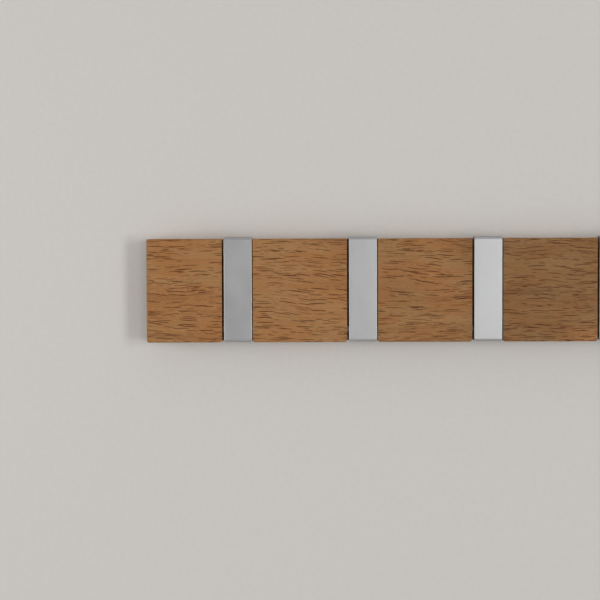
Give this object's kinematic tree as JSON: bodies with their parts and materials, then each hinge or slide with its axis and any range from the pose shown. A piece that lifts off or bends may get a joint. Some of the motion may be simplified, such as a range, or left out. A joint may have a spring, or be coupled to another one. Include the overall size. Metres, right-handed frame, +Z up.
{
  "type": "wall hook rail",
  "caption": "Solid oak wall rail with satin aluminium hooks that fold flush into full-height slots and turn down to hang coats on.",
  "frame": {"origin": "centre of the rail's back face, on the wall", "axes": "+X along the rail to the viewer's right, +Z up, +Y into the wall; the hooks face -Y"},
  "size_m": [0.3762, 0.0223, 0.0713],
  "materials": {
    "oak": "oiled, sanded smooth",
    "aluminium": "satin, bead blasted",
    "pin_steel": "ground bright",
    "spring_steel": "rolled, dark",
    "nylon": "moulded, black",
    "screw_steel": "zinc plated",
    "rubber": "matt black"
  },
  "bodies": {
    "rail": {"rail": "oak", "pivot_pin_1": "pin_steel", "wave_washer_1": "spring_steel", "pin_keeper_1": "nylon", "closing_pad_1": "rubber", "opening_pad_1": "rubber", "keeper_screw_1_left": "screw_steel", "keeper_screw_1_right": "screw_steel", "pivot_pin_2": "pin_steel", "wave_washer_2": "spring_steel", "pin_keeper_2": "nylon", "closing_pad_2": "rubber", "opening_pad_2": "rubber", "keeper_screw_2_left": "screw_steel", "keeper_screw_2_right": "screw_steel", "pivot_pin_3": "pin_steel", "wave_washer_3": "spring_steel", "pin_keeper_3": "nylon", "closing_pad_3": "rubber", "opening_pad_3": "rubber", "keeper_screw_3_left": "screw_steel", "keeper_screw_3_right": "screw_steel", "pivot_pin_4": "pin_steel", "wave_washer_4": "spring_steel", "pin_keeper_4": "nylon", "closing_pad_4": "rubber", "opening_pad_4": "rubber", "keeper_screw_4_left": "screw_steel", "keeper_screw_4_right": "screw_steel"},
    "hook_1": {"hook_1": "aluminium"},
    "hook_2": {"hook_2": "aluminium"},
    "hook_3": {"hook_3": "aluminium"},
    "hook_4": {"hook_4": "aluminium"}
  },
  "joints": [
    {"name": "hook_1_fold", "type": "hinge", "parent": "rail", "child": "hook_1", "pos_m": [-0.1265, -0.0139, -0.02619], "axis": [1, 0, 0], "range_deg": [0, 80]},
    {"name": "hook_2_fold", "type": "hinge", "parent": "rail", "child": "hook_2", "pos_m": [-0.042, -0.0139, -0.02619], "axis": [1, 0, 0], "range_deg": [0, 80]},
    {"name": "hook_3_fold", "type": "hinge", "parent": "rail", "child": "hook_3", "pos_m": [0.0425, -0.0139, -0.02619], "axis": [1, 0, 0], "range_deg": [0, 80]},
    {"name": "hook_4_fold", "type": "hinge", "parent": "rail", "child": "hook_4", "pos_m": [0.127, -0.0139, -0.02619], "axis": [1, 0, 0], "range_deg": [0, 80]}
  ]
}
